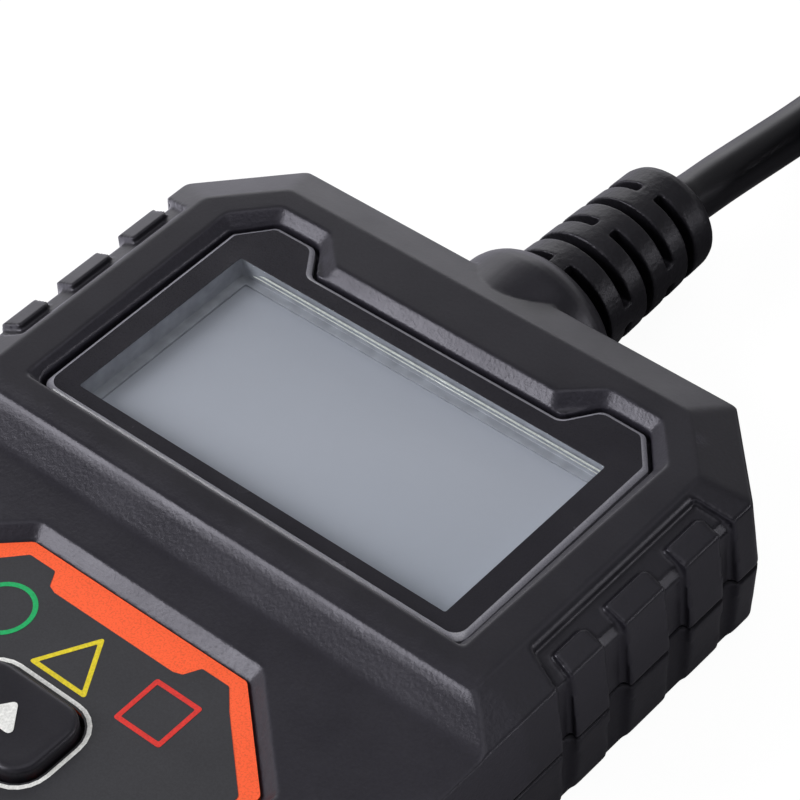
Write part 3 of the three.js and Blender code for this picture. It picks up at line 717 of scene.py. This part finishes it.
def build_lens():
    """Outer wall, dark border with the window cut out, and clear pane."""
    # wall profile: (inset, z)
    profile = [(0.6, LENS_BOTTOM), (0.0, LENS_BOTTOM + 0.05), (0.0, LENS_TOP - 0.42),
               (0.10, LENS_TOP - 0.30), (0.52, LENS_TOP - 0.035), (0.60, LENS_TOP - 0.02)]
    # the wall's pale grey colour is a painted highlight for the light in the clear edge
    wall = loft("lens_edge_skin", [at_height(lens_outline(inset), z) for inset, z in profile],
                MAT["lens_edge"], closed=False)
    sharp_by_angle(wall, 30)
    opening = round_rect(0, 0, *WINDOW, WINDOW_CORNER, 3)
    border = flat("lens_border_skin", [lens_outline(0.58), opening],
                  LENS_TOP - SHEET, LENS_TOP, MAT["mask"])
    pane_outline = round_rect(0, 0, WINDOW[0] - 0.02, WINDOW[1] - 0.02, WINDOW_CORNER, 3)
    pane = flat("lens_window_skin", [pane_outline], LENS_TOP - SHEET, LENS_TOP - 0.01,
                MAT["window"])
    for ob in (wall, border, pane):
        register(ob, replaces="display_lens")


def build_surround():
    """Frame between lens and display; its stepped inner wall shows through the window."""
    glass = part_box("lcd_panel")[1].z / MM
    # closed section: (x size, y size, z)
    section = [(49.0, 23.6, glass + 0.03), (49.0, 23.6, glass + 0.30),
               (49.1, 23.7, glass + 0.33), (51.3, 25.3, glass + 0.37),
               (51.4, 25.4, glass + 0.42), (51.4, 25.4, LENS_BOTTOM - 0.02),
               (51.4, 25.4, LENS_TOP - 0.08), (52.1, 26.1, LENS_TOP - 0.08),
               (52.1, 26.1, glass + 0.03), (49.0, 23.6, glass + 0.03)]
    loops = [at_height(round_rect(0, 0, width, depth, 0.3, 4), z)
             for width, depth, z in section]
    surround = loft("display_surround", loops, MAT["surround"], closed=False)
    sharp_by_angle(surround, 30)
    register(surround)


def build_window_glints():
    """Two painted glints: near-white strips under the window's +Y edge, standing in for the
    reflection seen there.
    """
    right, top = 25.3, LENS_TOP - 0.55
    # (left end, gap to the window's +Y edge, width)
    for i, (left, gap, width) in enumerate([(-22.3, 0.30, 0.22), (-22.9, 0.82, 0.10)]):
        y1 = WINDOW[1] / 2 - gap
        y0 = y1 - width
        outline = [(left, y0), (right, y0), (right, y1), (left + 0.5, y1)]
        strip = flat(f"window_step_{i + 1}", [outline], top - 0.08, top, MAT["glint"])
        register(strip)


build_lens()
build_surround()
build_window_glints()

# ---------------------------------------------------------------------- keypad
OVERLAY_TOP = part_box("keypad_overlay")[1].z / MM
FLANGE = 1.0              # the foot of a key stands out this far around its cap
SYMBOL_X, SYMBOL_Y = 10.8, -38.2
Key = namedtuple("Key", "x y width depth top bottom radius")


def read_key(name):
    low, high = (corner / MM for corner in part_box("key_" + name))
    return Key((low.x + high.x) / 2, (low.y + high.y) / 2,
               high.x - low.x - 2 * FLANGE, high.y - low.y - 2 * FLANGE,
               high.z, low.z, 2.4 if name in ("exit", "help") else 3.0)


KEYS = {name: read_key(name)
        for name in ("up", "down", "back", "forward", "enter", "exit", "help")}
# +X half of the grey panel: (x, y, corner radius)
PANEL_POINTS, PANEL_RADII = mirrored([
    (15.6, -86.4, 0.8), (23.9, -78.9, 0.8), (23.9, -40.75, 0.8), (16.1, -33.75, 0.5),
    (13.9, -31.45, 0.4), (10.3, -31.45, 0.3), (9.3, -33.2, 0.35), (8.3, -33.55, 0.5)])
# Key profile: (growth from the cap outline, height), from the bottom, then from the top
KEY_FOOT = [(0.9, 0), (FLANGE, 0.1), (FLANGE, 0.9), (0.9, 1.0), (0.05, 1.0), (0.0, 1.15)]
KEY_CROWN = [(0.0, -0.72), (-0.05, -0.45), (-0.18, -0.22), (-0.42, -0.07), (-0.75, -0.02)]
DISH_DEPTH = 0.10


def key_outline(key, growth, radius_growth, steps=6):
    """Outline of a key widened by growth in all."""
    return round_rect(key.x, key.y, key.width + growth, key.depth + growth,
                      key.radius + radius_growth, steps)


def overlay_print(name, outlines, ink, low=0.03, high=0.075):
    """Print on the overlay between two heights above its top."""
    ob = flat(name, outlines, OVERLAY_TOP + low, OVERLAY_TOP + high, MAT[ink])
    register(ob)


def build_prints():
    """Grey panel, the three coloured symbols and a white line around each key."""
    holes = [key_outline(key, 0.9, 0.4) for key in KEYS.values()]
    overlay_print("keypad_panel_print", [fillet(PANEL_POINTS, PANEL_RADII, 4)] + holes,
                  "panel", low=-0.01, high=0.045)
    overlay_print("symbol_ring_green",
                  [circle(-SYMBOL_X, SYMBOL_Y, radius) for radius in (3.5, 2.95)],
                  "ink_green")
    triangle = [(0, -34.6), (3.97, -41.4), (-3.97, -41.4)]
    overlay_print("symbol_triangle_yellow",
                  [fillet(triangle, 0.25, 3), fillet(grow(triangle, -0.52), 0.1, 2)],
                  "ink_yellow")
    overlay_print("symbol_square_red",
                  [round_rect(SYMBOL_X, SYMBOL_Y, size, size, radius, 3)
                   for size, radius in ((6.2, 0.3), (5.1, 0.15))], "ink_red")
    for name, key in KEYS.items():
        overlay_print("key_outline_" + name,
                      [key_outline(key, 2.3, 1.1), key_outline(key, 1.4, 0.7)], "ink_white")


def build_cap(name, key):
    """Key with a flanged foot, rounded shoulder and slightly dished top."""
    profile = [(growth, key.bottom + height) for growth, height in KEY_FOOT]
    profile += [(growth, key.top + height) for growth, height in KEY_CROWN]
    loops = [at_height(key_outline(key, 2 * growth, growth, 10), z) for growth, z in profile]
    rim, rim_z = [(x, y) for x, y, z in loops[-1]], profile[-1][1]
    for k in range(1, 9):
        scale = 1 - k / 9.5
        dish = DISH_DEPTH * (1 - scale * scale)
        loops.append([(key.x + (x - key.x) * scale, key.y + (y - key.y) * scale, rim_z - dish)
                      for x, y in rim])
    cap = loft("cap_" + name, loops, MAT["key"])
    sharp_by_angle(cap, 50)
    register(cap, rides="key_" + name, replaces="key_" + name)


ARROW = [(0, 2.0), (-2.7, -1.5), (2.7, -1.5)]
ARROW_TURN = {"up": 0, "back": 90, "down": 180, "forward": 270}    # degrees
TICK = [(-2.2, 0.1), (-1.4, 0.9), (-0.5, 0.0), (1.6, 2.1), (2.4, 1.3), (-0.5, -1.6)]
TICK_DROP = 0.25
CROSS_HALF = 1.7
CROSS_CUT = 0.588         # bevelled arm end, measured along x or y
MENU_BAR = (4.4, 0.66)
MENU_PITCH = 1.35


def icon_outlines(name, x, y):
    """Outlines of the icon on a key about (x, y)."""
    if name in ARROW_TURN:
        turn = math.radians(ARROW_TURN[name])
        cos, sin = math.cos(turn), math.sin(turn)
        return [fillet([(x + cos * px - sin * py, y + sin * px + cos * py)
                        for px, py in ARROW], 0.45, 4)]
    if name == "enter":
        return [fillet([(x + px, y + py - TICK_DROP) for px, py in TICK], 0.15, 3)]
    if name == "exit":
        half, cut = CROSS_HALF, CROSS_CUT
        inner = half - cut
        cross = [(-half, -inner), (-inner, -half), (0, -cut), (inner, -half),
                 (half, -inner), (cut, 0), (half, inner), (inner, half),
                 (0, cut), (-inner, half), (-half, inner), (-cut, 0)]
        return [[(x + px, y + py) for px, py in cross]]
    return [round_rect(x, y + offset, *MENU_BAR, 0.2, 3)
            for offset in (-MENU_PITCH, 0, MENU_PITCH)]


build_prints()
for name, key in KEYS.items():
    build_cap(name, key)
    icon = flat("icon_" + ("menu" if name == "help" else name),
                icon_outlines(name, key.x, key.y), key.top - 0.3, key.top - 0.045,
                MAT["ink_white"])
    register(icon, rides="key_" + name)

# ---------------------------------------------------- finishes on the CAD nodes
NODE_FINISH = {
    "controller_chip": "chip", "bus_transceiver": "chip", "power_regulator": "chip",
    "buzzer": "chip", "contact_carrier": "insert", "keypad_overlay": "overlay",
    "lcd_panel": "lcd", "lcd_backlight": "white", "cable_header": "white",
    "main_board": "board", "cable_pigtail": "cable", "rating_label": "label",
}


def node_finish(name):
    """Material key for a CAD node, or None where it keeps its own."""
    if name in NODE_FINISH:
        return NODE_FINISH[name]
    if name.startswith("switch_"):
        return "chip"
    if "screw" in name:
        return "steel"
    if name.startswith("contact_"):
        return "contact"
    return name if name.startswith("led_") else None


for name, ob in NODES.items():
    finish = node_finish(name)
    if finish:
        if not ob.data.materials:
            ob.data.materials.append(MAT[finish])
        for slot in ob.material_slots:
            slot.material = MAT[finish]

# ----------------------------------------------------- floor (lengths in metres)
FLOOR_HALF = 4
FLOOR_Z = -0.0001


def floor_material():
    """Bright to the camera; to other rays darker, with painted shadow towards +X and +Y and a
    painted glow on the -X side.
    """
    material, tree, output = new_material("pale_floor")
    clouds = node(tree, "ShaderNodeTexNoise", Scale=4.0).outputs[0]
    seen = node(tree, "ShaderNodeBsdfDiffuse", ramp(tree, clouds, [(0.3, 0.08), (0.7, 0.09)]))
    glow = node(tree, "ShaderNodeEmission", Strength=0.96)
    camera_side = node(tree, "ShaderNodeAddShader", seen.outputs[0], glow.outputs[0])

    # reflected and bounced rays: painted shadow, the floor dims towards +X and +Y
    dim = node(tree, "ShaderNodeBsdfDiffuse")
    place = node(tree, "ShaderNodeSeparateXYZ", object_coords(tree)).outputs
    fade_x = map_range(tree, place[0], (-0.06, 0.04), (1.0, 0.60))
    fade_y = map_range(tree, place[1], (0.030, 0.05), (1.0, 0.26))
    fade = math_step(tree, "MULTIPLY", fade_x, fade_y)
    feed(tree, dim.inputs[0], ramp(tree, fade, [(0.0, 0.0), (1.0, (0.94, 0.92, 1.0))]))
    # painted light: to these rays the floor glows on the -X side of the tool, as a lit white
    # card would
    glow_side = map_range(tree, place[0], (-0.005, -0.060))
    painted_floor_glow = node(tree, "ShaderNodeEmission", rgba((0.89, 0.875, 1.0)), glow_side)
    other_side = node(tree, "ShaderNodeAddShader", dim.outputs[0], painted_floor_glow.outputs[0])
    is_camera = node(tree, "ShaderNodeLightPath").outputs["Is Camera Ray"]
    shader = node(tree, "ShaderNodeMixShader", is_camera, other_side.outputs[0],
                  camera_side.outputs[0])
    feed(tree, output.inputs[0], shader.outputs[0])
    return material


floor_corners = [(x * FLOOR_HALF, y * FLOOR_HALF, FLOOR_Z)
                 for x, y in ((-1, -1), (1, -1), (1, 1), (-1, 1))]
floor = mesh_object("floor", floor_corners, [(0, 1, 2, 3)], floor_material())


# ----------------------------------------------------- world and lights (metres)
def build_world():
    """Bright at the horizon, darker overhead and towards +X."""
    world = bpy.data.worlds.new("studio")
    bpy.context.scene.world = world
    world.use_nodes = True
    tree = world.node_tree
    tree.nodes.clear()
    output = node(tree, "ShaderNodeOutputWorld")
    background = node(tree, "ShaderNodeBackground")
    generated = node(tree, "ShaderNodeTexCoord").outputs["Generated"]
    direction = node(tree, "ShaderNodeSeparateXYZ", generated).outputs
    sky = ramp(tree, direction[2],
               [(0.0, 1.0), (0.15, 1.0), (0.34, 0.42), (0.60, 0.19), (1.0, 0.12)])
    # darker where the bevels of the +X side look
    to_right = map_range(tree, direction[0], (0.2, 0.7), (0.0, 0.75))
    upwards = map_range(tree, direction[2], (0.24, 0.44))
    shade = math_step(tree, "MULTIPLY", to_right, upwards)
    strength = math_step(tree, "SUBTRACT", 1.0, shade)
    feed(tree, background.inputs[0], sky)
    feed(tree, background.inputs[1], strength)
    feed(tree, output.inputs[0], background.outputs[0])


def area(name, place, aim, size, power):
    """Rectangular light at place, turned towards aim."""
    light = bpy.data.lights.new(name, "AREA")
    light.shape = "RECTANGLE"
    light.size, light.size_y = size
    light.energy = power
    ob = link_object(name, light)
    ob.location = place
    ob.rotation_euler = (Vector(aim) - Vector(place)).to_track_quat("-Z", "Y").to_euler()


build_world()
area("key_left", place=(-0.52, -0.60, 0.52), aim=(0, 0, 0.01), size=(0.50, 0.50), power=8.6)
area("back_left", place=(-0.60, 0.55, 0.32), aim=(0, 0, 0.01), size=(0.7, 0.35), power=1.4)
area("rim_right", place=(0.76, 0.61, 0.21), aim=(0, 0.05, 0.01), size=(0.42, 0.14), power=1.3)
area("top_fill", place=(0.15, 0.1, 1.1), aim=(0, 0, 0), size=(0.9, 0.9), power=3.2)

# ---------------------------------------------------------------------- camera
AZIMUTH = math.radians(44.49)     # from -Y towards +X
ELEVATION = math.radians(45.13)
ROLL = math.radians(-4.576)
CAMERA_DISTANCE = 0.3457          # metres
CAMERA_TARGET = Vector((2.70, 6.78, LENS_TOP)) * MM


def build_camera():
    backward = Vector((math.sin(AZIMUTH) * math.cos(ELEVATION),
                       -math.cos(AZIMUTH) * math.cos(ELEVATION), math.sin(ELEVATION)))
    level = Vector((math.cos(AZIMUTH), math.sin(AZIMUTH), 0))
    upright = backward.cross(level)
    right = level * math.cos(ROLL) + upright * math.sin(ROLL)
    up = -level * math.sin(ROLL) + upright * math.cos(ROLL)
    place = CAMERA_TARGET + backward * CAMERA_DISTANCE
    data = bpy.data.cameras.new("camera")
    data.lens = 149.17
    data.sensor_width = 36
    data.clip_start = 0.01
    camera = link_object("camera", data)
    camera.matrix_world = Matrix((*zip(right, up, backward, place), (0, 0, 0, 1)))
    bpy.context.scene.camera = camera


build_camera()
bpy.context.scene.view_settings.view_transform = "Standard"
bpy.context.scene.view_settings.look = "None"
